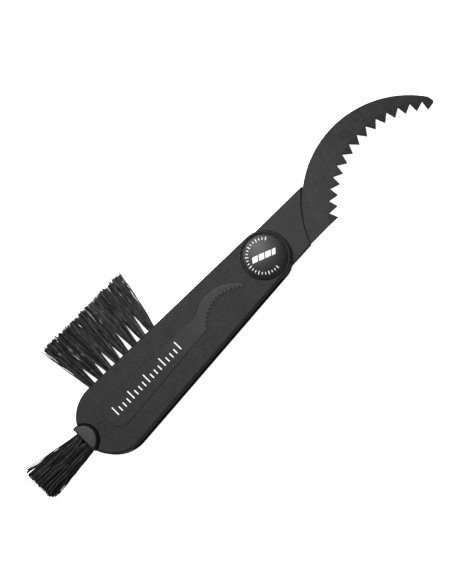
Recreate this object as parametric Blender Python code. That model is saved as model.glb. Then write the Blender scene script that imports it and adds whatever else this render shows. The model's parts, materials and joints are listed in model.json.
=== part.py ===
"""Folding drivetrain brush: handle shells, side brush, end brush and a folding toothed claw.

Frame: origin on the rear face under the pivot, +X along the handle towards the claw,
+Y towards the side brush, +Z out of the front face. Lengths below are in millimetres.
"""
import math

import bmesh
import bpy
from mathutils import Vector

MM = 0.001

# ---- handle ----
THICKNESS = 14.0          # rear face to front face
PARTING = THICKNESS / 2   # height of the joint between the shells
FIT = 0.3                 # clearance between neighbouring pieces
NOSE_R = 13.35            # handle end round the pivot
TAIL_R = 18.7             # handle end at the end brush
TAIL_X = -109.5
EDGE_FILLET = 1.0
SEAM_ROUND = 0.45         # round on the rear shell's rim, which shows as a line at the seam
SLOT_FLOOR = 3.6          # the arm lies between this height and its mirror about PARTING
SLOT_CEILING = 2 * PARTING - SLOT_FLOOR
WALL_Y = 12.75            # inner face of the wall beside the folded arm
SKIN = 2.0                # wall left over the cored pockets
CORE_CHORD = 6.6          # the pockets stop at this Y
CORE_RIB = 0.8            # half the rib between the pockets
SLOT_START_X = -9.0       # the slot's inner wall starts here, beside the arm's hub
SLOT_TAIL_Y = 11.1        # the slot's end wall runs up to this Y
OPEN_ANGLE = 9.5          # and down to this angle below the X axis, where it opens

EJECTOR_R = 1.95          # round marks that the moulding pins leave
EJECTOR_DEPTH = 0.12
FRONT_EJECTOR = (-116.6, 0.6)

# ---- folding arm and claw ----
ARM_BOTTOM = PARTING - 2.8
ARM_TOP = PARTING + 2.8
HUB_R = 13.0
ARM_UPPER = (13.0, -0.037)   # the arm's edges: Y at the pivot, and slope
ARM_LOWER = (-12.2, 0.019)
ARM_FILLET = 0.4
CLAW_BOTTOM = PARTING - 1.25
CLAW_TOP = PARTING + 1.25
BACK_X = 69.8             # circle that the claw's back follows
BACK_Y = -31.0
BACK_R = 52.4
STEP_GAP = 0.5            # the thick arm ends this far outside the back circle
TOOTH_X = 76.75           # circles through the tooth tips and roots
TOOTH_Y = -42.45
TIP_R = 47.75
ROOT_R = 52.25
TOOTH_COUNT = 15
TIP_START = 46.6          # degrees, tooth nearest the claw's end
TIP_PITCH = 6.73
ROOT_START = 49.6
ROOT_PITCH = 6.8
TOOTH_TIP_HALF = 0.65     # half thickness of the claw at a tooth's point
HEEL = (33.6, -11.75)     # foot of the tooth nearest the handle
PLATE_START = (14.0, 9.0, -11.4)   # X, and the two Y, where the thin plate starts inside the thick arm
CLAW_EJECTOR = (72.2, 14.3)
SWEEP_R = 115.8           # nothing of the claw reaches past this radius

# ---- pivot stack ----
SLEEVE_R = 3.5
BORE_R = 3.8
SCREW_R = 1.9
SCREW_END = 1.8
WASHER_R = 7.0
SEAT_R = 7.3
REAR_SEAT = 3.1
FRONT_SEAT = 11.4
CAP_SEAT = 13.0
CAP_SEAT_R = 12.0
CAP_R = 11.5
CAP_TOP = 16.5
STOP_R = 9.0              # stop lug, and the arc groove it runs in
STOP_WIDTH = 1.6
STOP_HALF_ANGLE = 8.0
STOP_TOP = ARM_BOTTOM + 1.2

# ---- side brush ----
BLOCK_X0 = -109.1
BLOCK_X1 = -61.6
BLOCK_Z0 = PARTING - 3.6
BLOCK_Z1 = PARTING + 3.6
BLOCK_DEPTH = 7.9
SIDE_COUNT = 8
SIDE_ROOT_X = (-106.1, -65.3)
SIDE_TIP_X = (-107.9, -60.3)
SIDE_TIP_Y = (50.0, 48.8)
SIDE_TIP_HALF_X = 3.15
SIDE_TIP_HALF_Z = 3.3
TUFT_R = 1.9
HOLE_R = 2.2
HOLE_DEPTH = 6.3
ANCHOR_HEIGHT = 1.2

# ---- end brush ----
HOLDER_X = -127.7         # flat face that the tufts leave
HOLDER_Y = 2.2
HOLDER_R = 7.9
HOLDER_TOP = THICKNESS + 3.0
HOLDER_TOP_R = 6.4
HOLDER_BOTTOM = 0.3
FLANGE_R = 9.6
FLANGE_Z0 = PARTING - 2.0
FLANGE_Z1 = PARTING + 2.0
END_TIP_X = -160.0
END_CENTRE_Y = 2.0
END_Y = 3.05              # half the distance between the two columns of tufts
END_Z = (PARTING - 3.1, PARTING + 3.1)
END_DRIFT = 1.15          # the end brush leans this far towards the side brush at its tips
END_TUFT_R = 2.5
END_TIP_SPREAD = 4.4
END_TIP_HALF = 3.6

# ---- shell screws, driven from the rear ----
SCREW_SPOTS = ((-53.0, 8.7), (-118.2, 12.0), (-118.2, -12.0))
SHELL_SCREW_R = 1.2
SHELL_HEAD_R = 2.4
SHELL_HEAD_DEPTH = 2.2
SHELL_SCREW_TOP = 11.0

# ---- raised panel on the front face ----
PANEL_HEIGHT = 0.45
PANEL_END_X = -104.8
PANEL_END_R = 8.2
PANEL_SCALE = 0.368       # the panel carries the claw's silhouette at this scale
PANEL_SHIFT = -59.6
PANEL_SINK = 0.8          # the panel's solid starts this far under the face
PANEL_BAR_X = -48.5       # the tapered bar meets the small claw here
PANEL_BAR_HALF = 4.4
PANEL_SLOPE = 1.1         # width of the sloping edge along the small claw's back
PANEL_SLOPE_ENDS = (31.0, 120.0)   # degrees


# ---------------------------------------------------------------- outlines

def arc(cx, cy, radius, start, end, count):
    """Points from start to end, in degrees, both ends included."""
    points = []
    for i in range(count + 1):
        angle = math.radians(start + (end - start) * i / count)
        points.append((cx + radius * math.cos(angle), cy + radius * math.sin(angle)))
    return points


def handle_tilt():
    """Angle in degrees between a straight edge of the handle and the X axis."""
    return math.degrees(math.asin((TAIL_R - NOSE_R) / -TAIL_X))


def handle_outline(inset):
    tilt = handle_tilt()
    nose = arc(0.0, 0.0, NOSE_R - inset, -90 + tilt, 90 - tilt, 20)
    tail = arc(TAIL_X, 0.0, TAIL_R - inset, 90 - tilt, 270 + tilt, 24)
    return nose + tail


def edge_y(x):
    """Height in Y of the handle's straight edge on the side brush's side."""
    tilt = math.radians(handle_tilt())
    return (NOSE_R - math.sin(tilt) * x) / math.cos(tilt)


def line_meets_back(y_start, slope, radius):
    """Point where y = y_start + slope * x meets a circle about the claw's back centre."""
    a = 1 + slope * slope
    b = -2 * BACK_X + 2 * slope * (y_start - BACK_Y)
    c = BACK_X ** 2 + (y_start - BACK_Y) ** 2 - radius ** 2
    x = (-b - math.sqrt(b * b - 4 * a * c)) / (2 * a)
    return x, y_start + slope * x


def carrier_outline(inset):
    """Thick arm: round hub, tapering edges and an end that follows the claw's back."""
    radius = BACK_R + STEP_GAP + inset
    half = HUB_R - inset
    top = line_meets_back(ARM_UPPER[0] - inset, ARM_UPPER[1], radius)
    bottom = line_meets_back(ARM_LOWER[0] + inset, ARM_LOWER[1], radius)
    start = math.degrees(math.atan2(bottom[1] - BACK_Y, bottom[0] - BACK_X))
    end = math.degrees(math.atan2(top[1] - BACK_Y, top[0] - BACK_X))
    leave = 360 + math.degrees(math.asin((ARM_LOWER[0] + inset) / half))
    hub = arc(0.0, 0.0, half, 90 + math.degrees(math.atan(ARM_UPPER[1])), leave, 24)
    return hub + arc(BACK_X, BACK_Y, radius, start, end, 12)


def on_circle(radius, angle):
    angle = math.radians(angle)
    return TOOTH_X + radius * math.cos(angle), TOOTH_Y + radius * math.sin(angle)


def tooth_tips():
    return [on_circle(TIP_R, TIP_START + TIP_PITCH * i) for i in range(TOOTH_COUNT)]


def tooth_roots():
    return [on_circle(ROOT_R, ROOT_START + ROOT_PITCH * i) for i in range(TOOTH_COUNT - 1)]


def claw_end():
    """Blunt end of the claw, from its outer corner to the back circle."""
    return [(114.2, -7.1), (114.6, -6.4), (114.35, -3.3)]


def claw_back(count):
    """The claw's back, from its end to where it runs under the arm."""
    return arc(BACK_X, BACK_Y, BACK_R, 32.5, 126.0, count)


# ---------------------------------------------------------------- meshes

def prism(outline, z0, z1):
    mesh = bmesh.new()
    low = [mesh.verts.new((x, y, z0)) for x, y in outline]
    high = [mesh.verts.new((x, y, z1)) for x, y in outline]
    count = len(outline)
    mesh.faces.new(list(reversed(low)))
    mesh.faces.new(high)
    for i in range(count):
        j = (i + 1) % count
        mesh.faces.new((low[i], low[j], high[j], high[i]))
    return mesh


def drum(radius, z0, z1, centre=(0.0, 0.0), segments=32):
    """Plain cylinder about Z."""
    circle = arc(centre[0], centre[1], radius, 0, 360, segments)
    return prism(circle[:-1], z0, z1)


def loft(rings):
    """Closed solid through rings of points, each with the same number of points."""
    mesh = bmesh.new()
    loops = [[mesh.verts.new(point) for point in ring] for ring in rings]
    count = len(rings[0])
    mesh.faces.new(list(reversed(loops[0])))
    mesh.faces.new(loops[-1])
    for below, above in zip(loops, loops[1:]):
        for i in range(count):
            j = (i + 1) % count
            mesh.faces.new((below[i], below[j], above[j], above[i]))
    return mesh


def turned(profile, centre=(0.0, 0.0), segments=32, closed=False):
    """Solid of revolution about Z. An open profile starts and ends on the axis."""
    mesh = bmesh.new()
    rings = []
    for radius, z in profile:
        if radius < 1e-6:
            rings.append([mesh.verts.new((centre[0], centre[1], z))])
            continue
        ring = []
        for i in range(segments):
            angle = 2 * math.pi * i / segments
            x = centre[0] + radius * math.cos(angle)
            y = centre[1] + radius * math.sin(angle)
            ring.append(mesh.verts.new((x, y, z)))
        rings.append(ring)
    pairs = list(zip(rings, rings[1:]))
    if closed:
        pairs.append((rings[-1], rings[0]))
    for first, second in pairs:
        for i in range(segments):
            j = (i + 1) % segments
            face = [first[i % len(first)], first[j % len(first)]]
            face += [second[j % len(second)], second[i % len(second)]]
            unique = []
            for vert in face:
                if vert not in unique:
                    unique.append(vert)
            mesh.faces.new(unique)
    return mesh


def filleted(outline_at, z_low, z_high, fillet_low, fillet_high, steps=3):
    """Loft of an outline whose lower and upper edges are rounded by the given radii."""
    levels = []
    for i in range(steps + 1):
        angle = math.pi / 2 * i / steps
        if fillet_low > 0:
            inset = fillet_low * (1 - math.sin(angle))
            levels.append((inset, z_low + fillet_low * (1 - math.cos(angle))))
    if fillet_low <= 0:
        levels.append((0.0, z_low))
    for i in range(steps + 1):
        angle = math.pi / 2 * i / steps
        if fillet_high > 0:
            inset = fillet_high * (1 - math.cos(angle))
            levels.append((inset, z_high - fillet_high * (1 - math.sin(angle))))
    if fillet_high <= 0:
        levels.append((0.0, z_high))
    return loft([[(x, y, z) for x, y in outline_at(inset)] for inset, z in levels])


# ---------------------------------------------------------------- objects

def plastic(name, grey, roughness):
    return finish(name, (grey, grey, grey * 1.02), roughness, 0.0)


def finish(name, colour, roughness, metallic):
    material = bpy.data.materials.new(name)
    material.use_nodes = True
    shader = material.node_tree.nodes["Principled BSDF"]
    shader.inputs["Base Color"].default_value = (*colour, 1.0)
    shader.inputs["Roughness"].default_value = roughness
    shader.inputs["Metallic"].default_value = metallic
    material.diffuse_color = (*colour, 1.0)
    return material


def to_object(name, mesh, material=None):
    bmesh.ops.scale(mesh, vec=(MM, MM, MM), verts=mesh.verts)
    bmesh.ops.recalc_face_normals(mesh, faces=mesh.faces)
    data = bpy.data.meshes.new(name)
    mesh.to_mesh(data)
    mesh.free()
    if material:
        data.materials.append(material)
        data.shade_smooth()
        data.set_sharp_from_angle(angle=math.radians(32))
    thing = bpy.data.objects.new(name, data)
    bpy.context.scene.collection.objects.link(thing)
    return thing


def shape_with(target, name, mesh, operation):
    """Adds a Boolean to the target, with the given mesh as its hidden tool."""
    tool = to_object(name, mesh)
    tool.hide_render = True
    tool.display_type = 'WIRE'
    modifier = target.modifiers.new(name, 'BOOLEAN')
    modifier.operation = operation
    modifier.object = tool
    modifier.solver = 'EXACT'


def cut(target, name, mesh):
    shape_with(target, name, mesh, 'DIFFERENCE')


def join(target, name, mesh):
    shape_with(target, name, mesh, 'UNION')


# ---------------------------------------------------------------- handle shells

def arm_room():
    """Plan of the slot that the folding arm and claw sweep through, open on the -Y side."""
    clear_r = TIP_R - 1.0
    start = math.degrees(math.asin((WALL_Y + TOOTH_Y) / clear_r))
    end = math.degrees(math.asin((SLOT_TAIL_Y + TOOTH_Y) / clear_r))
    tail = math.degrees(math.asin(SLOT_TAIL_Y / SWEEP_R))
    inner = arc(-TOOTH_X, -TOOTH_Y, clear_r, start, -180 - end, 18)
    outer = arc(0.0, 0.0, SWEEP_R, 180 - tail, 180 + OPEN_ANGLE, 8)
    beyond = 30.0
    open_x = -SWEEP_R * math.cos(math.radians(OPEN_ANGLE))
    outside = [(open_x, -beyond), (beyond, -beyond), (beyond, 20.0)]
    return [(SLOT_START_X, 20.0), (SLOT_START_X, WALL_Y)] + inner + outer + outside


def core_pockets():
    """Plans of two weight-saving pockets between the claw's room and the brush block."""
    radius = TIP_R - 3.0
    middle = -TOOTH_X
    cy = -TOOTH_Y
    edge = math.degrees(math.asin((CORE_CHORD - cy) / radius))
    lowest = math.degrees(math.acos(CORE_RIB / radius))
    right = arc(middle, cy, radius, -lowest, edge, 8) + [(middle + CORE_RIB, CORE_CHORD)]
    left = [(2 * middle - x, y) for x, y in reversed(right)]
    return right, left


def block_plan(clearance, overshoot):
    """Plan of the side brush's block, grown by clearance and run out past the handle's edge."""
    x0 = BLOCK_X0 - clearance
    x1 = BLOCK_X1 + clearance
    face = -0.2 + overshoot
    back = -0.2 - BLOCK_DEPTH - clearance
    return [
        (x0, edge_y(x0) + back),
        (x1, edge_y(x1) + back),
        (x1, edge_y(x1) + face),
        (x0, edge_y(x0) + face),
    ]


def holder_plan(radius, flat_x):
    """Half disc that bulges towards +X from a flat at flat_x, centred on the holder."""
    reach = math.degrees(math.acos((flat_x - HOLDER_X) / radius))
    return arc(HOLDER_X, HOLDER_Y, radius, -reach, reach, 20)


def holder_room(radius):
    points = arc(HOLDER_X, HOLDER_Y, radius, -90, 90, 20)
    return points + [(HOLDER_X - 6.0, HOLDER_Y + radius), (HOLDER_X - 6.0, HOLDER_Y - radius)]


def front_panel_plan():
    """Tapered bar that ends in a small copy of the claw's silhouette."""
    def shrink(point):
        return PANEL_SCALE * point[0] + PANEL_SHIFT, PANEL_SCALE * point[1]

    tips = tooth_tips()
    roots = tooth_roots()
    plan = arc(PANEL_END_X, 0.0, PANEL_END_R, 86, 274, 16)
    plan.append((PANEL_BAR_X, -PANEL_BAR_HALF))
    for i in range(TOOTH_COUNT - 1, 0, -1):
        plan.append(shrink(tips[i]))
        plan.append(shrink(roots[i - 1]))
    plan.append(shrink(tips[0]))
    plan += [shrink(point) for point in claw_end()]
    plan += [shrink(point) for point in claw_back(10)]
    return plan


def panel_slope():
    """Tool that slopes the panel's edge along the small claw's back: a wedge swept along the arc."""
    centre_x = PANEL_SCALE * BACK_X + PANEL_SHIFT
    centre_y = PANEL_SCALE * BACK_Y
    edge = PANEL_SCALE * BACK_R
    top = THICKNESS + PANEL_HEIGHT
    above = 1.0
    wedge = [
        (edge - PANEL_SLOPE, top), (edge + FIT, top - PANEL_HEIGHT * 0.9), (edge + FIT, top + above),
        (edge - PANEL_SLOPE, top + above),
    ]
    columns = [arc(centre_x, centre_y, radius, *PANEL_SLOPE_ENDS, 24) for radius, z in wedge]
    rings = []
    for i in range(len(columns[0])):
        rings.append([(*column[i], z) for column, (radius, z) in zip(columns, wedge)])
    return loft(rings)


def shell_common(shell, front):
    """Cuts that both shells share, mirrored about the parting plane."""
    tag = shell.name
    beyond = PARTING - 1 if front else PARTING + 1
    slot_end = SLOT_CEILING if front else SLOT_FLOOR
    block_end = BLOCK_Z1 + FIT if front else BLOCK_Z0 - FIT
    flange_end = FLANGE_Z1 + FIT if front else FLANGE_Z0 - FIT
    skin_end = THICKNESS - SKIN if front else SKIN
    seat_end = FRONT_SEAT if front else REAR_SEAT

    def span(end):
        return min(beyond, end), max(beyond, end)

    cut(shell, tag + "_arm_room", prism(arm_room(), *span(slot_end)))
    cut(shell, tag + "_block_room", prism(block_plan(FIT, 6.0), *span(block_end)))
    cut(shell, tag + "_flange_room", prism(holder_room(FLANGE_R + FIT), *span(flange_end)))
    cut(shell, tag + "_holder_room", prism(holder_room(HOLDER_R + FIT), -1, THICKNESS + 1))
    for i, plan in enumerate(core_pockets()):
        cut(shell, f"{tag}_core_{i + 1}", prism(plan, *span(skin_end)))
    low, high = span(seat_end)
    cut(shell, tag + "_washer_seat", drum(SEAT_R, low, high))


def make_front_shell(material):
    mesh = filleted(handle_outline, PARTING + FIT / 2, THICKNESS, 0.0, EDGE_FILLET)
    shell = to_object("front_shell", mesh, material)
    join(shell, "front_panel", prism(front_panel_plan(), THICKNESS - PANEL_SINK, THICKNESS + PANEL_HEIGHT))
    cut(shell, "panel_slope", panel_slope())
    shell_common(shell, True)
    cut(shell, "cap_seat", drum(CAP_SEAT_R, CAP_SEAT, THICKNESS + 2, segments=40))
    cut(shell, "front_screw_hole", drum(SCREW_R + FIT, FRONT_SEAT - 1, CAP_SEAT + 1, segments=20))
    for i, spot in enumerate(SCREW_SPOTS):
        pilot = drum(SHELL_SCREW_R + FIT, PARTING - 1, SHELL_SCREW_TOP + 0.8, spot, 16)
        cut(shell, f"front_pilot_{i + 1}", pilot)
    mark = drum(EJECTOR_R, THICKNESS - EJECTOR_DEPTH, THICKNESS + 1, FRONT_EJECTOR, 20)
    cut(shell, "front_ejector_mark", mark)
    return shell


def make_rear_shell(material):
    mesh = filleted(handle_outline, 0.0, PARTING - FIT / 2, EDGE_FILLET, SEAM_ROUND)
    shell = to_object("rear_shell", mesh, material)
    shell_common(shell, False)
    cut(shell, "rear_screw_hole", drum(SCREW_R + FIT, SCREW_END - 0.4, REAR_SEAT + 1, segments=20))
    for i, spot in enumerate(SCREW_SPOTS):
        recess = drum(SHELL_HEAD_R + FIT, -1, SHELL_HEAD_DEPTH + FIT, spot, 16)
        cut(shell, f"rear_head_recess_{i + 1}", recess)
        cut(shell, f"rear_screw_hole_{i + 1}", drum(SHELL_SCREW_R + FIT, 1, PARTING + 1, spot, 16))
    inner = STOP_R - STOP_WIDTH / 2
    outer = STOP_R + STOP_WIDTH / 2
    low = 90 - STOP_HALF_ANGLE
    high = 90 + STOP_HALF_ANGLE
    lug = arc(0, 0, outer, low, high, 4) + arc(0, 0, inner, high, low, 4)
    join(shell, "stop_lug", prism(lug, SLOT_FLOOR - 1, STOP_TOP))
    return shell


# ---------------------------------------------------------------- claw arm

def claw_mesh():
    """Thin toothed plate. Its teeth taper in thickness from root to point."""
    tips = tooth_tips()
    roots = tooth_roots()
    middle = (CLAW_BOTTOM + CLAW_TOP) / 2
    start_x, start_high, start_low = PLATE_START
    # The body's outline runs along the tooth roots; each tooth is a wedge set on one stretch of it.
    body = [(start_x, start_high), (start_x, start_low), HEEL] + list(reversed(roots))
    end = claw_end()
    last = end[0]
    body += end + claw_back(24)
    mesh = bmesh.new()
    low = [mesh.verts.new((x, y, CLAW_BOTTOM)) for x, y in body]
    high = [mesh.verts.new((x, y, CLAW_TOP)) for x, y in body]
    mesh.faces.new(list(reversed(low)))
    mesh.faces.new(high)
    count = len(body)
    first_tooth = body.index(HEEL)
    last_tooth = body.index(last) - 1
    for i in range(count):
        j = (i + 1) % count
        if first_tooth <= i <= last_tooth:
            x, y = tips[TOOTH_COUNT - 1 - (i - first_tooth)]
            point_low = mesh.verts.new((x, y, middle - TOOTH_TIP_HALF))
            point_high = mesh.verts.new((x, y, middle + TOOTH_TIP_HALF))
            mesh.faces.new((low[i], point_low, point_high, high[i]))
            mesh.faces.new((point_low, low[j], high[j], point_high))
            mesh.faces.new((high[i], point_high, high[j]))
            mesh.faces.new((low[j], point_low, low[i]))
        else:
            mesh.faces.new((low[i], low[j], high[j], high[i]))
    return mesh


def make_claw_arm(material):
    mesh = filleted(carrier_outline, ARM_BOTTOM, ARM_TOP, ARM_FILLET, ARM_FILLET, 2)
    arm = to_object("claw_arm", mesh, material)
    join(arm, "claw_plate", claw_mesh())
    cut(arm, "pivot_bore", drum(BORE_R, ARM_BOTTOM - 1, ARM_TOP + 1))
    margin = STOP_HALF_ANGLE + 2.2
    inner = STOP_R - STOP_WIDTH / 2 - FIT
    outer = STOP_R + STOP_WIDTH / 2 + FIT
    groove = arc(0, 0, outer, 90 - margin, 270 + margin, 28)
    groove += arc(0, 0, inner, 270 + margin, 90 - margin, 28)
    cut(arm, "stop_groove", prism(groove, ARM_BOTTOM - 1, STOP_TOP + FIT))
    mark = drum(EJECTOR_R, CLAW_TOP - EJECTOR_DEPTH, CLAW_TOP + 1, CLAW_EJECTOR, 20)
    cut(arm, "claw_ejector_mark", mark)
    return arm


# ---------------------------------------------------------------- pivot pieces

def make_pivot_cap(material):
    dome = []
    for i in range(7):
        angle = math.radians(90 * i / 6)
        dome.append((9.9 + 1.6 * math.cos(angle), CAP_TOP - 2.3 + 1.5 * math.sin(angle)))
    crown = [(7.0, CAP_TOP - 0.35), (3.5, CAP_TOP - 0.08), (0, CAP_TOP)]
    low = CAP_SEAT + FIT
    inside = [(0, CAP_TOP - 1.2), (8.6, CAP_TOP - 1.5), (9.6, CAP_TOP - 2.3), (9.6, low), (CAP_R, low)]
    return to_object("pivot_cap", turned(inside + dome + crown, segments=40), material)


def make_pivot_screw(material):
    head_low = CAP_SEAT + 0.25
    profile = [
        (0, SCREW_END), (SCREW_R - 0.6, SCREW_END), (SCREW_R, SCREW_END + 0.6), (SCREW_R, head_low), (3.9, head_low),
        (3.9, head_low + 0.7), (3.2, head_low + 1.5), (1.7, head_low + 1.7), (1.2, head_low + 0.9),
        (0, head_low + 0.9),
    ]
    return to_object("pivot_screw", turned(profile, segments=24), material)


def make_sleeve(material):
    inner = SCREW_R + FIT
    low = REAR_SEAT + 0.25
    high = FRONT_SEAT - 0.25
    profile = [(inner, low), (SLEEVE_R, low), (SLEEVE_R, high), (inner, high)]
    return to_object("pivot_sleeve", turned(profile, segments=32, closed=True), material)


def make_washer(name, low, high, material):
    profile = [(BORE_R, low), (WASHER_R, low), (WASHER_R, high), (BORE_R, high)]
    return to_object(name, turned(profile, segments=32, closed=True), material)


def make_spring_washer(material):
    """Wave spring: three shallow waves round a thin ring."""
    centre = (ARM_TOP + 0.6 + FRONT_SEAT) / 2 - 0.04
    wave = 0.2
    half = 0.15
    segments = 36
    mesh = bmesh.new()
    rings = []
    for i in range(segments):
        angle = 2 * math.pi * i / segments
        z = centre + wave * math.sin(3 * angle)
        ring = []
        for radius, dz in ((BORE_R + 0.3, -half), (WASHER_R - 0.4, -half), (WASHER_R - 0.4, half), (BORE_R + 0.3, half)):
            ring.append(mesh.verts.new((radius * math.cos(angle), radius * math.sin(angle), z + dz)))
        rings.append(ring)
    for i in range(segments):
        here = rings[i]
        there = rings[(i + 1) % segments]
        for k in range(4):
            m = (k + 1) % 4
            mesh.faces.new((here[k], here[m], there[m], there[k]))
    return to_object("spring_washer", mesh, material)


# ---------------------------------------------------------------- brushes

def ring_across(centre, along, half_side, half_z, segments=12):
    """Ellipse of points square to a direction in the XY plane."""
    side = Vector((-along.y, along.x, 0.0))
    points = []
    for i in range(segments):
        angle = 2 * math.pi * i / segments
        offset = side * (half_side * math.cos(angle)) + Vector((0, 0, half_z * math.sin(angle)))
        points.append(tuple(centre + offset))
    return points


def tuft_mesh(root, along, depth, tip, root_r, tip_side, tip_z):
    """Bundle of bristles: straight in its hole, then flaring evenly to its trimmed end."""
    rings = [
        ring_across(root - along * depth, along, root_r, root_r),
        ring_across(root + along * 0.5, along, root_r, root_r),
    ]
    start = root + along * 0.5
    for share in (0.33, 0.66, 1.0):
        centre = start.lerp(tip, share)
        side = root_r + (tip_side - root_r) * share
        height = root_r + (tip_z - root_r) * share
        rings.append(ring_across(centre, along, side, height))
    return loft(rings)


def anchor_mesh(root, along, width):
    """Flat chamfered metal anchor across the bottom of a tuft's hole."""
    half = width / 2
    corner = 0.35
    thick = 0.25
    side = Vector((-along.y, along.x, 0.0))
    outline = [
        (-half + corner, 0), (half - corner, 0), (half, corner), (half, ANCHOR_HEIGHT - corner),
        (half - corner, ANCHOR_HEIGHT), (-half + corner, ANCHOR_HEIGHT), (-half, ANCHOR_HEIGHT - corner),
        (-half, corner),
    ]
    foot = root - along * (HOLE_DEPTH - 0.15)
    rings = []
    for sign in (-1, 1):
        rings.append([tuple(foot + side * (sign * thick) + along * v + Vector((0, 0, u))) for u, v in outline])
    return loft(rings)


def cylinder_along(root, along, inside, outside, radius, segments=16):
    return loft([
        ring_across(root - along * inside, along, radius, radius, segments),
        ring_across(root + along * outside, along, radius, radius, segments),
    ])


def side_tufts():
    """Root, direction and tip of each side tuft."""
    tilt = math.radians(handle_tilt())
    along = Vector((math.sin(tilt), math.cos(tilt), 0.0))
    rows = []
    for i in range(SIDE_COUNT):
        share = i / (SIDE_COUNT - 1)
        x = SIDE_ROOT_X[0] + (SIDE_ROOT_X[1] - SIDE_ROOT_X[0]) * share
        tip_x = SIDE_TIP_X[0] + (SIDE_TIP_X[1] - SIDE_TIP_X[0]) * share
        root = Vector((x, edge_y(x) - 0.2, PARTING))
        tip_y = SIDE_TIP_Y[0] + (SIDE_TIP_Y[1] - SIDE_TIP_Y[0]) * share
        rows.append((root, along, Vector((tip_x, tip_y, PARTING))))
    return rows


def make_side_brush(block_material, bristle_material, anchor_material):
    block = to_object("brush_block", prism(block_plan(0.0, 0.0), BLOCK_Z0, BLOCK_Z1), block_material)
    for i, (root, along, tip) in enumerate(side_tufts()):
        cut(block, f"side_hole_{i + 1}", cylinder_along(root, along, HOLE_DEPTH, 3.0, HOLE_R))
        depth = HOLE_DEPTH - ANCHOR_HEIGHT - 0.35
        bundle = tuft_mesh(root, along, depth, tip, TUFT_R, SIDE_TIP_HALF_X, SIDE_TIP_HALF_Z)
        to_object(f"side_tuft_{i + 1}", bundle, bristle_material)
        to_object(f"side_anchor_{i + 1}", anchor_mesh(root, along, 2 * HOLE_R - 0.9), anchor_material)
    return block


def end_tufts():
    rows = []
    for side in (1, -1):
        for z in reversed(END_Z):
            root = Vector((HOLDER_X, END_CENTRE_Y + side * END_Y, z))
            lift = 0.3 if z > PARTING else -0.3
            tip_y = END_CENTRE_Y + END_DRIFT + side * END_TIP_SPREAD
            tip = Vector((END_TIP_X, tip_y, z + lift))
            rows.append((root, tip))
    return rows


def make_end_brush(holder_material, bristle_material, anchor_material):
    levels = [
        (HOLDER_R - 0.5, HOLDER_BOTTOM), (HOLDER_R, HOLDER_BOTTOM + 0.5), (HOLDER_R, THICKNESS + 0.2),
        (HOLDER_R - 0.3, THICKNESS + 0.7), (HOLDER_TOP_R + 0.6, HOLDER_TOP - 0.4),
        (HOLDER_TOP_R, HOLDER_TOP),
    ]
    rings = []
    for radius, z in levels:
        flat = HOLDER_X + (0.4 if z == HOLDER_TOP or z == HOLDER_BOTTOM else 0.0)
        rings.append([(x, y, z) for x, y in holder_plan(radius, flat)])
    holder = to_object("end_brush_holder", loft(rings), holder_material)
    join(holder, "holder_flange", prism(holder_plan(FLANGE_R, HOLDER_X + 4.0), FLANGE_Z0, FLANGE_Z1))
    along = Vector((-1.0, 0.0, 0.0))
    depth = HOLE_DEPTH - ANCHOR_HEIGHT - 0.35
    for i, (root, tip) in enumerate(end_tufts()):
        hole = cylinder_along(root, along, HOLE_DEPTH, 3.0, END_TUFT_R + FIT)
        cut(holder, f"end_hole_{i + 1}", hole)
        bundle = tuft_mesh(root, along, depth, tip, END_TUFT_R, END_TIP_HALF, END_TUFT_R + 0.3)
        to_object(f"end_tuft_{i + 1}", bundle, bristle_material)
        to_object(f"end_anchor_{i + 1}", anchor_mesh(root, along, 2 * END_TUFT_R - 0.4), anchor_material)
    return holder


def make_shell_screws(material):
    for i, spot in enumerate(SCREW_SPOTS):
        profile = [
            (0, 1.3), (0.9, 1.3), (1.2, 0.4), (SHELL_HEAD_R - 0.4, 0.4), (SHELL_HEAD_R, 0.9),
            (SHELL_HEAD_R, SHELL_HEAD_DEPTH), (SHELL_SCREW_R, SHELL_HEAD_DEPTH),
            (SHELL_SCREW_R, SHELL_SCREW_TOP - 0.6), (0.3, SHELL_SCREW_TOP), (0, SHELL_SCREW_TOP),
        ]
        to_object(f"shell_screw_{i + 1}", turned(profile, spot, 16), material)


# ---------------------------------------------------------------- assembly

def clear_scene():
    for thing in list(bpy.data.objects):
        bpy.data.objects.remove(thing, do_unlink=True)


def main():
    clear_scene()
    make_front_shell(plastic("front_shell_plastic", 0.040, 0.55))
    make_rear_shell(plastic("rear_shell_plastic", 0.036, 0.55))
    make_claw_arm(plastic("claw_plastic", 0.048, 0.6))
    make_pivot_cap(plastic("cap_plastic", 0.03, 0.3))
    steel = finish("steel", (0.6, 0.6, 0.62), 0.3, 1.0)
    make_pivot_screw(steel)
    make_sleeve(steel)
    make_washer("rear_washer", REAR_SEAT + 0.25, ARM_BOTTOM - 0.25, steel)
    make_washer("front_washer", ARM_TOP + 0.2, ARM_TOP + 0.6, steel)
    make_spring_washer(finish("spring_steel", (0.5, 0.5, 0.52), 0.35, 1.0))
    bristle = plastic("bristle_nylon", 0.02, 0.4)
    anchor = finish("anchor_brass", (0.62, 0.5, 0.28), 0.35, 1.0)
    make_side_brush(plastic("block_plastic", 0.03, 0.6), bristle, anchor)
    make_end_brush(plastic("holder_plastic", 0.045, 0.25), bristle, anchor)
    make_shell_screws(steel)


main()
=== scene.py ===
"""Looks of the folding drivetrain brush: moulded shells, bristles, printed marks, floor, light, camera.

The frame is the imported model: +X along the handle towards the claw, +Y towards the side brush,
+Z out of the front face. Lengths are in metres; MM turns millimetres into metres.
"""
import json
import math
import random

import bmesh
import bpy
from mathutils import Matrix, Vector


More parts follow.
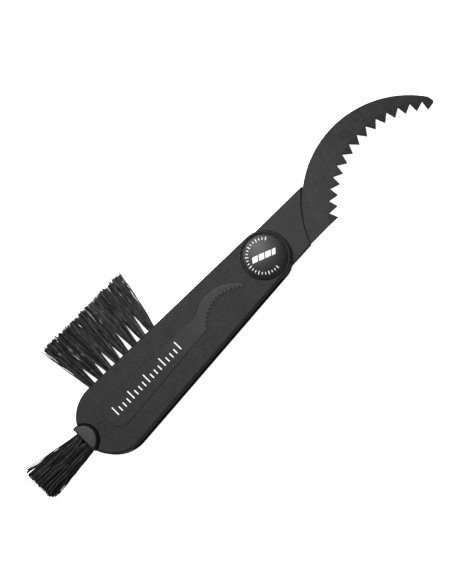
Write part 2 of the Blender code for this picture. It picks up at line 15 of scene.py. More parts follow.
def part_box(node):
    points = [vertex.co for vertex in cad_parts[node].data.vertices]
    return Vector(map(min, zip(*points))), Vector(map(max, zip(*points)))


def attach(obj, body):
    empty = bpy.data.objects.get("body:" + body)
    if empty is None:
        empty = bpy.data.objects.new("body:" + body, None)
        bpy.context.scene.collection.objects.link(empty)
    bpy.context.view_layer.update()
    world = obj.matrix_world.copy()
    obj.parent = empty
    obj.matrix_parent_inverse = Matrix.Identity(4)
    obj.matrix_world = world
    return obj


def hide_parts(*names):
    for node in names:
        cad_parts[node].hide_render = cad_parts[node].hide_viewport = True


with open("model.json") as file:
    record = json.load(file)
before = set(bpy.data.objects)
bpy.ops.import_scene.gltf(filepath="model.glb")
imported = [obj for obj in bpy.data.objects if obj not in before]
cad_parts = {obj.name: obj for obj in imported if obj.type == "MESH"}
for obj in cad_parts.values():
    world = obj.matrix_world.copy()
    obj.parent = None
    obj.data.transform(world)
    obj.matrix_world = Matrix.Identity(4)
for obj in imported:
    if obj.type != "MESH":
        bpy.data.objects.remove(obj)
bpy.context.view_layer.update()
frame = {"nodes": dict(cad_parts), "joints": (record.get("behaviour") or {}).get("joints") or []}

MM = 0.001
nodes = frame["nodes"]
FACE_Z = 14.0 * MM        # height of the handle's front face

# ---- refined shells ----
WELD = 0.002 * MM         # packed triangles don't share vertices; this joins them again
FLAT_ANGLE = 0.5          # degrees: neighbouring triangles flatter than this become one face
SMOOTH_ANGLE = 34.0       # degrees: edges sharper than this stay crisp
EDGE_ANGLE = 42.0         # degrees: edges sharper than this are broken by a small round
SHELL_EDGE = 0.12 * MM    # widths of the small rounds
CLAW_EDGE = 0.1 * MM
SOCKET_EDGE = 0.2 * MM
BLOCK_EDGE = 0.08 * MM

# ---- moulded plastic ----
GRAIN = 0.55 * MM         # size of the spark-eroded grain
GRAIN_DEPTH = 0.1 * MM
SPECK = 1.1 * MM          # size of the lighter and darker specks
RUB_FROM = -75 * MM       # along X, the raised panel grows lighter between these two
RUB_TO = -38 * MM
RUB_START = 0.12 * MM     # above the front face, where the panel's wall turns lighter
SLOPE_TOP = 0.40 * MM     # above the front face, where the small claw's sloping edge, with its painted highlight, ends
PAINTED_SHADE_SPAN = (40 * MM, 108 * MM)     # along X, painted shade darkens the claw between these two

# ---- bristles ----
SEATED = 4.75 * MM        # length of a bristle inside its hole
SIDE_BRISTLE_R = 0.2 * MM
END_BRISTLE_R = 0.22 * MM
BRISTLE_SIDES = 6
BRISTLE_STEPS = 12
SIDE_BRISTLES = 84        # in each tuft
END_BRISTLES = 95
SIDE_ROOT_R = 1.9 * MM    # radius of a tuft where it leaves its hole
END_ROOT_R = 2.4 * MM
SIDE_FAN = 0.9            # below 1, the bristles of a tuft spread sooner than evenly
END_FAN = 0.55
SIDE_INNER = 4.9 * MM     # spread at the tips, towards the next tuft and away from the row
SIDE_OUTER = 3.2 * MM
END_INNER = 7.0 * MM
END_OUTER = 3.6 * MM
SIDE_DEPTH = 3.4 * MM     # spread at the tips, across the row
END_DEPTH = 3.0 * MM
SWAY = 0.16 * MM          # waviness
SWAY_TURNS = (1.5, 3.2)   # waves along a bristle, fewest and most
FREE_FROM = 0.3 * MM      # past the plastic, where a bristle starts to spread
TIP_SCATTER = (0.45 * MM, 0.5 * MM)
SIDE_SEED = 11
END_SEED = 23

# ---- pivot cap ----
CROWN_SAG = 1.15 * MM     # fall of the crown from its middle to its rounded edge
CAP_ROUND = 0.8 * MM
CAP_LIP = 0.3 * MM        # the dome stands this far inside the cap's rim
CAP_LIP_TOP = 0.55 * MM   # height of the rim above the front face
CAP_LIP_ROUND = 0.15 * MM
CAP_WALL = 1.9 * MM
CAP_BORE_END = 2.4 * MM   # below the top, where the bore turns into the hollow's slope
CAP_SLOPE_IN = 2.8 * MM   # the slope ends this far inside the cap's radius
CAP_SLOPE_END = 1.6 * MM
CAP_ROOF = 1.3 * MM       # thickness in the middle
CAP_STEPS = 12
CAP_ROUND_STEPS = 10
FINE_SEGMENTS = 96        # around the cap and the screws

# ---- shell screws ----
SCREW_SHANK_R = 1.2 * MM
SCREW_HEAD_END = 2.2 * MM
SCREW_HEAD_ROUND = (0.7 * MM, 0.5 * MM)     # across and along the screw
SCREW_POINT_R = 0.3 * MM
SCREW_POINT = 0.6 * MM
RECESS_HALF_WIDTH = 0.36 * MM
RECESS_HALF_LENGTH = 1.3 * MM
RECESS_DEPTH = 1.2 * MM
RECESS_TIP = 1.3 * MM

# ---- printed marks ----
FILM = 0.03 * MM          # a mark stands this far out of its surface
SUNK = 0.05 * MM          # and starts this far inside it
CAP_TICKS = 22
CAP_TICK_RING = 8.7 * MM
CAP_TICK_START = 39.0     # degrees
CAP_TICK_SWEEP = 235.0
CAP_TICK_WIDTH = 0.42 * MM
CAP_TICK_SHORT = 1.2 * MM
CAP_TICK_LONG = 1.9 * MM  # every third
BLOCK_TURN = math.radians(-23.0)
BLOCK_LEAN = 1.1 * MM
BLOCK_HALF_HEIGHT = 1.45 * MM
BLOCK_SPANS = ((-6.2, -3.3), (-2.7, 0.2), (0.8, 3.7), (4.3, 6.2))     # millimetres
PANEL_TICKS = 17
PANEL_TICK_START = -106.5 * MM
PANEL_TICK_PITCH = 2.8 * MM
PANEL_TICK_BASE = -2.0 * MM
PANEL_TICK_WIDTH = 0.6 * MM
PANEL_TICK_SHORT = 3.0 * MM
PANEL_TICK_LONG = 5.2 * MM      # every fourth

# ---- light ----
FLOOR_Z = -0.3 * MM
FLOOR_HALF = 3.0
FLOOR_GLOW = 0.98
FLOOR_SHEEN = 0.3         # how bright the paper looks in reflections
WORLD = 0.2
LIGHTS = (                # name, place, size, watts
    ("key", (0.06, 0.38, 0.75), (0.45, 0.4), 7.0),
    ("top", (0.0, 0.12, 0.6), (0.3, 0.3), 1.0),
    ("fill", (-0.05, -0.6, 0.2), (0.8, 0.2), 1.0),
)
LIGHT_AIM = (-0.02, 0, 0)

# ---- camera ----
TILT = math.radians(10.0)     # away from straight above, towards -Y
ROLL = math.radians(46.46)    # turns the handle's axis up to the right in the image
DISTANCE = 0.81
IMAGE_HEIGHT = 0.2921         # height of the field of view at the object
AIM_RIGHT = -0.0199           # from the pivot's middle to the image centre, in image directions
AIM_UP = -0.01685


# ---------------------------------------------------------------- helpers

def middle(node):
    low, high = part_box(node)
    return (low + high) / 2


def new_piece(name, mesh, body, material, replaced=()):
    """Object made of a bmesh, shaded smooth up to an angle, which rides on a body."""
    bmesh.ops.recalc_face_normals(mesh, faces=mesh.faces)
    data = bpy.data.meshes.new(name)
    mesh.to_mesh(data)
    mesh.free()
    data.materials.append(material)
    data.shade_smooth()
    data.set_sharp_from_angle(angle=math.radians(SMOOTH_ANGLE))
    piece = bpy.data.objects.new(name, data)
    bpy.context.scene.collection.objects.link(piece)
    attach(piece, body)
    if replaced:
        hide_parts(*replaced)
    return piece


def dress(node, material):
    data = nodes[node].data
    data.materials.clear()
    data.materials.append(material)


# ---------------------------------------------------------------- materials

def shader_of(name):
    material = bpy.data.materials.new(name)
    material.use_nodes = True
    return material, material.node_tree.nodes["Principled BSDF"]


def add(tree, kind, inputs=None, **settings):
    """New node with its settings and its sockets' constants or links."""
    node = tree.nodes.new(kind)
    for key, value in settings.items():
        setattr(node, key, value)
    for key, value in (inputs or {}).items():
        if isinstance(value, bpy.types.NodeSocket):
            tree.links.new(value, node.inputs[key])
        else:
            node.inputs[key].default_value = value
    return node


def place_of(tree, stretch=(1.0, 1.0, 1.0)):
    """Position in the frame, scaled along each axis, so that a texture can be drawn out."""
    where = add(tree, "ShaderNodeTexCoord").outputs["Object"]
    return add(tree, "ShaderNodeMapping", {"Vector": where, "Scale": stretch}).outputs["Vector"]


def noise(tree, place, scale, detail=3.0, roughness=0.55):
    inputs = {"Vector": place, "Scale": scale, "Detail": detail, "Roughness": roughness}
    return add(tree, "ShaderNodeTexNoise", inputs).outputs["Fac"]


def spread(tree, factor, low, high, from_low=0.3, from_high=0.7):
    """Maps the middle of a noise to a range of values."""
    inputs = {
        "Value": factor, "From Min": from_low, "From Max": from_high, "To Min": low, "To Max": high,
    }
    return add(tree, "ShaderNodeMapRange", inputs).outputs["Result"]


def total(tree, first, second):
    return add(tree, "ShaderNodeMath", {0: first, 1: second}, operation='ADD').outputs[0]


def product(tree, first, second):
    return add(tree, "ShaderNodeMath", {0: first, 1: second}, operation='MULTIPLY').outputs[0]


def grey_ramp(tree, factor, low, high):
    """Colour between two greys; a factor below 0 or above 1 goes past them."""
    mix = tree.nodes.new("ShaderNodeMix")
    mix.data_type = 'RGBA'
    mix.clamp_factor = False
    tree.links.new(factor, mix.inputs[0])
    mix.inputs[6].default_value = (low, low, low * 1.02, 1)
    mix.inputs[7].default_value = (high, high, high * 1.02, 1)
    return mix.outputs[2]


def moulded(name, grey, roughness, grain, specular, rubbed_and_highlit=False, painted_shade_end=False):
    """Black moulded plastic: spark-eroded grain, cloudy tone, and patches handled smoother.

    If rubbed, what stands above the front face is lighter towards the small claw's end; the slope along
    its edge is lighter still, a painted highlight. With painted shade at the end, the plastic grows
    darker along X.
    """
    material, shader = shader_of(name)
    tree = material.node_tree
    place = place_of(tree)
    x, _, z = add(tree, "ShaderNodeSeparateXYZ", {"Vector": place}).outputs
    fine = noise(tree, place, 1 / GRAIN, 2.0, 0.6)
    speck = noise(tree, place, 1 / SPECK, 2.0, 0.7)
    cloud = noise(tree, place, 55.0, 4.0)
    patch = noise(tree, place, 160.0, 3.0)
    tone = total(tree, spread(tree, speck, -0.6, 1.6), spread(tree, cloud, -0.12, 0.12))
    if rubbed_and_highlit:
        blur = 0.05 * MM
        start = FACE_Z + RUB_START
        slope_end = FACE_Z + SLOPE_TOP
        high = spread(tree, z, 0.0, 1.0, start - blur, start + blur)
        rub = spread(tree, x, 0.15, 3.6, RUB_FROM, RUB_TO)
        # Painted highlight: on the slope along the small claw's edge the panel's lightening is 1.7
        # times stronger.
        edge = spread(tree, z, 1.7, 1.0, slope_end - 0.02 * MM, slope_end + 0.03 * MM)
        tone = total(tree, tone, product(tree, product(tree, high, rub), edge))
    if painted_shade_end:
        # Painted shade: the claw grows darker towards its end tooth.
        tone = total(tree, tone, spread(tree, x, 0.9, -1.1, *PAINTED_SHADE_SPAN))
    colour = grey_ramp(tree, tone, grey * 0.75, grey * 1.25)
    tree.links.new(colour, shader.inputs["Base Color"])
    tree.links.new(spread(tree, patch, roughness - 0.03, roughness + 0.03), shader.inputs["Roughness"])
    shader.inputs["Specular IOR Level"].default_value = specular
    bump = add(tree, "ShaderNodeBump", {"Height": fine, "Strength": grain, "Distance": GRAIN_DEPTH})
    tree.links.new(bump.outputs["Normal"], shader.inputs["Normal"])
    return material


def nylon(name):
    """Bristle filament: near black, most strands dark and dull, a few lighter and glossier."""
    material, shader = shader_of(name)
    tree = material.node_tree
    strand = add(tree, "ShaderNodeAttribute", attribute_name="strand").outputs["Fac"]
    place = place_of(tree)
    scuff = noise(tree, place, 420.0, 3.0)
    tone = total(tree, strand, spread(tree, scuff, -0.2, 0.2))
    rare = add(tree, "ShaderNodeMath", {0: tone, 1: 3.0}, operation='POWER').outputs[0]
    colour = grey_ramp(tree, rare, 0.0008, 0.05)
    tree.links.new(colour, shader.inputs["Base Color"])
    tree.links.new(spread(tree, tone, 0.7, 0.28, 0.1, 1.0), shader.inputs["Roughness"])
    shader.inputs["Specular IOR Level"].default_value = 0.22
    return material


def plated(name, colour):
    """Plated metal with fine turning lines and slight staining."""
    material, shader = shader_of(name)
    tree = material.node_tree
    place = place_of(tree, (1.0, 1.0, 8.0))
    lines = noise(tree, place, 900.0, 2.0)
    stain = noise(tree, place_of(tree), 300.0, 4.0)
    mix = tree.nodes.new("ShaderNodeMix")
    mix.data_type = 'RGBA'
    tree.links.new(spread(tree, stain, 0.0, 1.0), mix.inputs[0])
    mix.inputs[6].default_value = (*[c * 0.82 for c in colour], 1)
    mix.inputs[7].default_value = (*colour, 1)
    tree.links.new(mix.outputs[2], shader.inputs["Base Color"])
    tree.links.new(spread(tree, lines, 0.22, 0.38), shader.inputs["Roughness"])
    shader.inputs["Metallic"].default_value = 1.0
    bump = add(tree, "ShaderNodeBump", {"Height": lines, "Strength": 0.15, "Distance": 0.02 * MM})
    tree.links.new(bump.outputs["Normal"], shader.inputs["Normal"])
    return material


def ink(name):
    """White pad print, slightly thin in places."""
    material, shader = shader_of(name)
    tree = material.node_tree
    thin = noise(tree, place_of(tree), 1500.0, 3.0)
    colour = grey_ramp(tree, spread(tree, thin, 0.0, 1.0), 0.72, 0.9)
    tree.links.new(colour, shader.inputs["Base Color"])
    shader.inputs["Roughness"].default_value = 0.5
    return material


shell_plastic = moulded("shell_plastic", 0.0085, 0.56, 1.0, 0.22, rubbed_and_highlit=True)
claw_plastic = moulded("claw_plastic", 0.0105, 0.57, 1.0, 0.22, painted_shade_end=True)
cap_plastic = moulded("cap_plastic", 0.0048, 0.40, 0.05, 0.27)
holder_plastic = moulded("holder_plastic", 0.010, 0.34, 0.06, 0.32)
block_plastic = moulded("block_plastic", 0.009, 0.6, 0.5, 0.25)
bristle_nylon = nylon("bristle_nylon")
steel = plated("steel", (0.62, 0.62, 0.64))
brass = plated("anchor_brass", (0.62, 0.48, 0.26))
white_ink = ink("white_ink")


# ---------------------------------------------------------------- refined CAD pieces

def refined(node, name, body, material, edge):
    """Welded copy of a CAD node with broken edges and smooth shading over its rounds."""
    mesh = bmesh.new()
    mesh.from_mesh(nodes[node].data)
    bmesh.ops.remove_doubles(mesh, verts=mesh.verts, dist=WELD)
    limit = math.radians(FLAT_ANGLE)
    bmesh.ops.dissolve_limit(mesh, angle_limit=limit, verts=mesh.verts, edges=mesh.edges)
    piece = new_piece(name, mesh, body, material, (node,))
    soften = piece.modifiers.new("broken_edges", 'BEVEL')
    soften.width = edge
    soften.segments = 2
    soften.limit_method = 'ANGLE'
    soften.angle_limit = math.radians(EDGE_ANGLE)
    soften.use_clamp_overlap = False
    level = piece.modifiers.new("flat_faces_stay_flat", 'WEIGHTED_NORMAL')
    level.keep_sharp = True
    level.weight = 100


def turned(profile, segments, centre=Vector((0, 0, 0))):
    """Solid about a Z axis through (radius, z) points that start and end on the axis.

    A radius may also be a function of the angle, for a section that isn't round.
    """
    mesh = bmesh.new()
    rings = []
    for radius, z in profile:
        if radius == 0:
            rings.append([mesh.verts.new((centre.x, centre.y, z))] * segments)
            continue
        ring = []
        for i in range(segments):
            angle = math.tau * i / segments
            reach = radius(angle) if callable(radius) else radius
            ring.append(mesh.verts.new((
                centre.x + reach * math.cos(angle), centre.y + reach * math.sin(angle), z,
            )))
        rings.append(ring)
    for first, second in zip(rings, rings[1:]):
        for i in range(segments):
            j = (i + 1) % segments
            face = []
            for vert in (first[i], first[j], second[j], second[i]):
                if vert not in face:
                    face.append(vert)
            mesh.faces.new(face)
    return mesh


cap_low, cap_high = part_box("pivot_cap")
CAP_R = cap_high.x
CROWN_R = CAP_R - CAP_LIP - CAP_ROUND


def crown_z(radius):
    """Height of the cap's crown at a distance from the pivot's axis."""
    return cap_high.z - CROWN_SAG * (radius / CROWN_R) ** 2


def make_cap():
    profile = [(0, crown_z(0))]
    for i in range(1, CAP_STEPS + 1):
        radius = CROWN_R * i / CAP_STEPS
        profile.append((radius, crown_z(radius)))
    shoulder = crown_z(CROWN_R)
    slope = math.atan(2 * CROWN_SAG / CROWN_R)
    for i in range(1, CAP_ROUND_STEPS + 1):
        angle = slope + (math.pi / 2 - slope) * i / CAP_ROUND_STEPS
        out = CAP_ROUND * (math.sin(angle) - math.sin(slope)) / (1 - math.sin(slope))
        down = CAP_ROUND * 0.95 * (math.cos(slope) - math.cos(angle))
        profile.append((CROWN_R + out, shoulder - down))
    lip_top = FACE_Z + CAP_LIP_TOP
    bore = CAP_R - CAP_WALL
    # Over the rim and down its outside, then up the bore and in under the crown.
    profile += [
        (CAP_R - CAP_LIP, lip_top), (CAP_R - CAP_LIP_ROUND, lip_top), (CAP_R, lip_top - CAP_LIP_ROUND),
        (CAP_R, cap_low.z), (bore, cap_low.z), (bore, cap_high.z - CAP_BORE_END),
        (CAP_R - CAP_SLOPE_IN, cap_high.z - CAP_SLOPE_END), (0, cap_high.z - CAP_ROOF),
    ]
    mesh = turned(profile, FINE_SEGMENTS)
    new_piece("pivot_dome", mesh, "handle", cap_plastic, ("pivot_cap",))


def cross_recess(scale):
    """Radius of a cross-shaped driver recess, as a function of the angle."""
    def radius(angle):
        off_arm = abs((angle + math.pi / 4) % (math.pi / 2) - math.pi / 4)
        reach = RECESS_HALF_LENGTH / math.cos(off_arm)
        if off_arm > 1e-6:
            reach = min(reach, RECESS_HALF_WIDTH / math.sin(off_arm))
        return reach * scale

    return radius


def make_screw(node, name):
    """Shell screw with a rounded head and a cross recess, its head towards -Z."""
    low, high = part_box(node)
    face = low.z
    head_r = (high.x - low.x) / 2
    across, along = SCREW_HEAD_ROUND
    flat_r = head_r - across
    profile = [
        (0, face + RECESS_TIP), (cross_recess(0.6), face + RECESS_DEPTH), (cross_recess(1.0), face),
        (flat_r, face),
    ]
    steps = 5
    for i in range(1, steps + 1):
        angle = math.pi / 2 * i / steps
        profile.append((flat_r + across * math.sin(angle), face + along * (1 - math.cos(angle))))
    profile += [
        (head_r, SCREW_HEAD_END), (SCREW_SHANK_R, SCREW_HEAD_END),
        (SCREW_SHANK_R, high.z - SCREW_POINT), (SCREW_POINT_R, high.z), (0, high.z),
    ]
    mesh = turned(profile, FINE_SEGMENTS, middle(node))
    new_piece(name, mesh, "handle", steel, (node,))


# ---------------------------------------------------------------- printed marks

def printed(name, outlines, height_at, body):
    """Thin raised marks: each outline is a list of (x, y), set on a surface of the given height."""
    mesh = bmesh.new()
    for outline in outlines:
        top = [mesh.verts.new((x, y, height_at(x, y) + FILM)) for x, y in outline]
        low = [mesh.verts.new((x, y, height_at(x, y) - SUNK)) for x, y in outline]
        cx = sum(x for x, y in outline) / len(outline)
        cy = sum(y for x, y in outline) / len(outline)
        hub = mesh.verts.new((cx, cy, height_at(cx, cy) + FILM))
        for i in range(len(outline)):
            mesh.faces.new((top[i], top[(i + 1) % len(outline)], hub))
        mesh.faces.new(list(reversed(low)))
        for i in range(len(outline)):
            j = (i + 1) % len(outline)
            mesh.faces.new((low[i], low[j], top[j], top[i]))
    new_piece(name, mesh, body, white_ink)


def bar(centre, angle, length, width, round_steps=3):
    """Outline of a bar with round ends, its length along the angle, in radians."""
    half = length / 2 - width / 2
    along = Vector((math.cos(angle), math.sin(angle)))
    points = []
    for sign in (1, -1):
        for i in range(2 * round_steps + 1):
            turn = angle + math.radians(-90 + 90 * i / round_steps)
            if sign < 0:
                turn += math.pi
            offset = Vector((math.cos(turn), math.sin(turn))) * (width / 2)
            point = Vector(centre) + along * (sign * half) + offset
            points.append((point.x, point.y))
    return points


def print_cap():
    """Ring of ticks and a plain slanted bar in blocks."""
    marks = []
    for i in range(CAP_TICKS):
        angle = math.radians(CAP_TICK_START + CAP_TICK_SWEEP * i / (CAP_TICKS - 1))
        length = CAP_TICK_SHORT if i % 3 else CAP_TICK_LONG
        centre = (CAP_TICK_RING * math.cos(angle), CAP_TICK_RING * math.sin(angle))
        marks.append(bar(centre, angle, length, CAP_TICK_WIDTH, 2))
    # The blocks lean: each is a parallelogram along the bar.
    along = Vector((math.cos(BLOCK_TURN), math.sin(BLOCK_TURN)))
    across = Vector((-along.y, along.x))
    for start, end in BLOCK_SPANS:
        block = []
        for s, t in ((start, -1), (end, -1), (end, 1), (start, 1)):
            point = along * (s * MM + BLOCK_LEAN * t * 0.5) + across * (BLOCK_HALF_HEIGHT * t)
            block.append((point.x, point.y))
        marks.append(block)
    printed("cap_marks", marks, lambda x, y: crown_z(math.hypot(x, y)), "handle")


def print_panel():
    """Graduated row of ticks along the raised panel."""
    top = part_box("front_shell")[1].z
    marks = []
    for i in range(PANEL_TICKS):
        x = PANEL_TICK_START + PANEL_TICK_PITCH * i
        length = PANEL_TICK_SHORT if i % 4 else PANEL_TICK_LONG
        marks.append(bar((x, PANEL_TICK_BASE + length / 2), math.pi / 2, length, PANEL_TICK_WIDTH))
    printed("panel_marks", marks, lambda x, y: top, "handle")


# ---------------------------------------------------------------- bristles

def ring_centre(node, direction, far):
    """Middle of the ring of vertices at one end of a node, along a direction."""
    depth = 0.7 * MM
    points = [v.co for v in nodes[node].data.vertices]
    reach = [p.dot(direction) for p in points]
    edge = max(reach) if far else min(reach)
    chosen = [p for p, r in zip(points, reach) if abs(r - edge) < depth]
    low = Vector([min(p[k] for p in chosen) for k in range(3)])
    high = Vector([max(p[k] for p in chosen) for k in range(3)])
    return (low + high) / 2


def tube(mesh, layer, path, side, radius, tone):
    """Thin closed tube along a path; every vertex carries the strand's tone."""
    rings = []
    for point in path:
        ring = []
        for i in range(BRISTLE_SIDES):
            angle = math.tau * i / BRISTLE_SIDES
            offset = side * (radius * math.cos(angle)) + Vector((0, 0, radius * math.sin(angle)))
            vert = mesh.verts.new(point + offset)
            vert[layer] = tone
            ring.append(vert)
        rings.append(ring)
    mesh.faces.new(list(reversed(rings[0])))
    mesh.faces.new(rings[-1])
    for below, above in zip(rings, rings[1:]):
        for i in range(BRISTLE_SIDES):
            j = (i + 1) % BRISTLE_SIDES
            mesh.faces.new((below[i], below[j], above[j], above[i]))


class Tuft:
    """Where a tuft starts in its hole, where it leaves the plastic and where it ends."""

    def __init__(self, node, anchor, out):
        self.node = node
        self.deep = ring_centre(node, out, False)
        self.along = (self.deep - middle(anchor)).normalized()
        self.root = self.deep + self.along * SEATED
        self.tip = ring_centre(node, out, True)
        self.side = Vector((-self.along.y, self.along.x, 0))


def bristle(tuft, u, v, root_r, spread_to, length, rng, fan, bow=0.0):
    """Path of one bristle. u and v place it in the tuft's round section, from -1 to 1."""
    up = Vector((0, 0, 1))
    seat = tuft.side * (u * root_r) + up * (v * root_r)
    goal = tuft.side * spread_to[0] + up * spread_to[1]
    start = tuft.root + tuft.along * FREE_FROM
    reach = tuft.tip - start
    phase = [rng.uniform(0, math.tau) for _ in range(2)]
    turns = rng.uniform(*SWAY_TURNS)
    path = [tuft.deep + seat, start + seat]
    for i in range(1, BRISTLE_STEPS + 1):
        t = i / BRISTLE_STEPS
        sway = SWAY * min(1.0, 2.5 * t)
        ripple = tuft.side * (sway * math.sin(turns * math.tau * t + phase[0]))
        ripple += up * (sway * math.sin(turns * math.tau * t + phase[1]))
        bulge = tuft.side * (bow * math.sin(math.pi * t))
        path.append(start + reach * (t * length) + seat.lerp(goal, t ** fan) + ripple + bulge)
    return path


def tuft_mesh(tuft, count, root_r, fibre_r, widths, depth, rng, scallop, ragged, fan, strays):
    """Bristles of one tuft. widths are how far its section spreads to either side at the tips.

    scallop shortens the outer bristles and ragged scatters all lengths, as shares of the length.
    Each stray is its place in the section, its spread, its length and how far it bows out.
    """
    mesh = bmesh.new()
    layer = mesh.verts.layers.float.new("strand")
    golden = math.pi * (3 - math.sqrt(5))
    for i in range(count):
        radius = math.sqrt((i + 0.5) / count)
        angle = golden * i + rng.uniform(-0.25, 0.25)
        u = radius * math.cos(angle)
        v = radius * math.sin(angle)
        width = widths[1] if u > 0 else widths[0]
        # A round section seen from the side is thin at its edges; this evens it out.
        share = (u * math.sqrt(1 - u * u) + math.asin(u)) * 2 / math.pi
        goal = (share * width + rng.gauss(0, TIP_SCATTER[0]), v * depth + rng.gauss(0, TIP_SCATTER[1]))
        length = 1 - scallop * u * u + rng.gauss(0, ragged)
        path = bristle(tuft, u, v, root_r - fibre_r, goal, length, rng, fan)
        tube(mesh, layer, path, tuft.side, fibre_r, rng.random())
    for u, out, length, bow in strays:
        goal = (out, rng.uniform(-0.5, 0.9) * depth)
        v = rng.uniform(-0.4, 0.4)
        path = bristle(tuft, u, v, root_r - fibre_r, goal, length, rng, 1.0, bow)
        tube(mesh, layer, path, tuft.side, fibre_r, rng.random())
    return mesh


def make_side_bristles():
    rng = random.Random(SIDE_SEED)
    count = sum(1 for name in nodes if name.startswith("side_tuft_"))
    for i in range(1, count + 1):
        tuft = Tuft(f"side_tuft_{i}", f"side_anchor_{i}", Vector((0, 1, 0)))
        # The section's side axis points to -X, so a positive u is on the end brush's side.
        widths = [SIDE_INNER, SIDE_INNER]
        strays = []
        if i == 1:
            widths[1] = SIDE_OUTER
            strays = [(0.95, 4.0 * MM, 0.99, 0.2 * MM), (0.9, 3.7 * MM, 0.94, -0.2 * MM)]
        if i == count:
            widths[0] = SIDE_OUTER
            strays = [
                (-0.95, -3.7 * MM, 1.02, -1.0 * MM), (-0.9, -4.2 * MM, 1.0, -0.7 * MM),
                (-0.95, -3.4 * MM, 0.97, -0.9 * MM), (-0.8, -4.6 * MM, 1.03, -0.3 * MM),
            ]
        mesh = tuft_mesh(
            tuft, SIDE_BRISTLES, SIDE_ROOT_R, SIDE_BRISTLE_R, widths, SIDE_DEPTH, rng, 0.02, 0.016,
            SIDE_FAN, strays,
        )
        new_piece(f"side_bristles_{i}", mesh, "handle", bristle_nylon, (tuft.node,))


def make_end_bristles():
    rng = random.Random(END_SEED)
    for i in range(1, 5):
        tuft = Tuft(f"end_tuft_{i}", f"end_anchor_{i}", Vector((-1, 0, 0)))
        # The section's side axis points to -Y here.
        if i <= 2:
            widths = [END_OUTER, END_INNER]
            strays = [
                (-0.95, -4.6 * MM, 1.02, 0.0), (-0.9, -5.3 * MM, 1.0, 0.1 * MM),
                (-0.95, -5.9 * MM, 1.03, 0.1 * MM), (-0.85, -6.5 * MM, 0.99, 0.2 * MM),
            ]
        else:
            widths = [END_INNER, END_OUTER]
            strays = [(0.95, 4.4 * MM, 0.97, 0.2 * MM), (0.9, 5.0 * MM, 0.9, 0.0)]
        mesh = tuft_mesh(
            tuft, END_BRISTLES, END_ROOT_R, END_BRISTLE_R, widths, END_DEPTH, rng, 0.0, 0.01,
            END_FAN, strays,
        )
        new_piece(f"end_bristles_{i}", mesh, "handle", bristle_nylon, (tuft.node,))


# ---------------------------------------------------------------- stage

def make_floor():
    mesh = bmesh.new()
    corners = []
    for x, y in ((-1, -1), (1, -1), (1, 1), (-1, 1)):
        corners.append(mesh.verts.new((x * FLOOR_HALF, y * FLOOR_HALF, FLOOR_Z)))
    mesh.faces.new(corners)
    data = bpy.data.meshes.new("floor")
    mesh.to_mesh(data)
    mesh.free()
    material, shader = shader_of("floor_paper")
    tree = material.node_tree
    shader.inputs["Base Color"].default_value = (0.9, 0.9, 0.9, 1)
    shader.inputs["Roughness"].default_value = 0.9
    shader.inputs["Specular IOR Level"].default_value = 0.1
    shader.inputs["Emission Color"].default_value = (1, 1, 1, 1)
    shader.inputs["Emission Strength"].default_value = FLOOR_GLOW
    # The paper looks white, but throws little light back at the underside.
    dim = add(tree, "ShaderNodeBsdfDiffuse", {"Color": (0.12, 0.12, 0.12, 1)})
    rays = add(tree, "ShaderNodeLightPath").outputs
    sheen = add(tree, "ShaderNodeEmission", {"Strength": FLOOR_SHEEN})
    inputs = {0: rays["Is Glossy Ray"], 1: dim.outputs[0], 2: sheen.outputs[0]}
    near = add(tree, "ShaderNodeMixShader", inputs)
    inputs = {0: rays["Is Camera Ray"], 1: near.outputs[0], 2: shader.outputs[0]}
    mix = add(tree, "ShaderNodeMixShader", inputs)
    tree.links.new(mix.outputs[0], tree.nodes["Material Output"].inputs["Surface"])
    data.materials.append(material)
    floor = bpy.data.objects.new("floor", data)
    bpy.context.scene.collection.objects.link(floor)


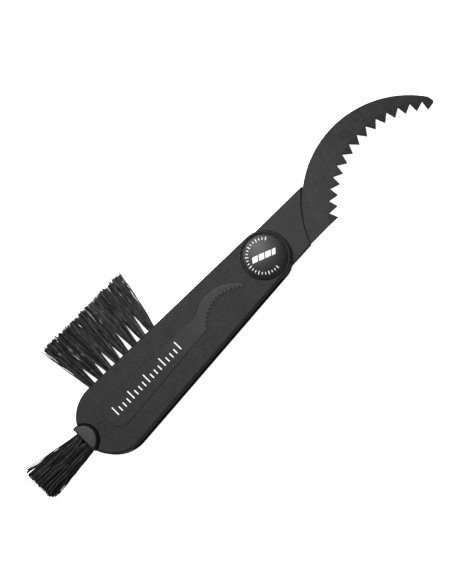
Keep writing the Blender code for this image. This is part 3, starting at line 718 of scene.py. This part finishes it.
def soft_light(name, place, size, power):
    data = bpy.data.lights.new(name, 'AREA')
    data.shape = 'RECTANGLE'
    data.size, data.size_y = size
    data.energy = power
    light = bpy.data.objects.new(name, data)
    light.location = place
    aim = Vector(LIGHT_AIM) - Vector(place)
    light.rotation_mode = 'QUATERNION'
    light.rotation_quaternion = aim.to_track_quat('-Z', 'Y')
    bpy.context.scene.collection.objects.link(light)


def make_lights():
    for name, place, size, power in LIGHTS:
        soft_light(name, place, size, power)
    world = bpy.data.worlds.new("studio")
    bpy.context.scene.world = world
    world.use_nodes = True
    background = world.node_tree.nodes["Background"]
    background.inputs["Color"].default_value = (1, 1, 1, 1)
    background.inputs["Strength"].default_value = WORLD


def make_camera():
    """Looks down on the front face, tilted towards -Y, with the handle running up to the right."""
    back = Vector((0, -math.sin(TILT), math.cos(TILT)))
    flat_y = back.cross(Vector((1, 0, 0)))
    right = Vector((1, 0, 0)) * math.cos(ROLL) - flat_y * math.sin(ROLL)
    up = Vector((1, 0, 0)) * math.sin(ROLL) + flat_y * math.cos(ROLL)
    pivot = Vector(frame["joints"][0]["pos_m"])
    aim = pivot + right * AIM_RIGHT + up * AIM_UP
    data = bpy.data.cameras.new("camera")
    data.lens = data.sensor_width * DISTANCE / IMAGE_HEIGHT
    camera = bpy.data.objects.new("camera", data)
    camera.matrix_world = Matrix((right, up, back)).transposed().to_4x4()
    camera.location = aim + back * DISTANCE
    bpy.context.scene.collection.objects.link(camera)
    bpy.context.scene.camera = camera


# ---------------------------------------------------------------- assembly

refined("front_shell", "front_cover", "handle", shell_plastic, SHELL_EDGE)
refined("rear_shell", "rear_cover", "handle", shell_plastic, SHELL_EDGE)
refined("claw_arm", "claw_blade", "claw", claw_plastic, CLAW_EDGE)
refined("end_brush_holder", "end_brush_socket", "handle", holder_plastic, SOCKET_EDGE)
refined("brush_block", "side_brush_block", "handle", block_plastic, BLOCK_EDGE)
make_cap()
print_cap()
print_panel()
make_side_bristles()
make_end_bristles()
for node in ("pivot_screw", "pivot_sleeve", "front_washer", "rear_washer", "spring_washer"):
    dress(node, steel)
# An anchor folds each tuft in half; the screws hold the shells together.
for node in nodes:
    if node.startswith("shell_screw_"):
        make_screw(node, node.replace("shell", "cover"))
    if "_anchor_" in node:
        dress(node, brass)
make_floor()
make_lights()
make_camera()
bpy.context.scene.view_settings.view_transform = 'Standard'
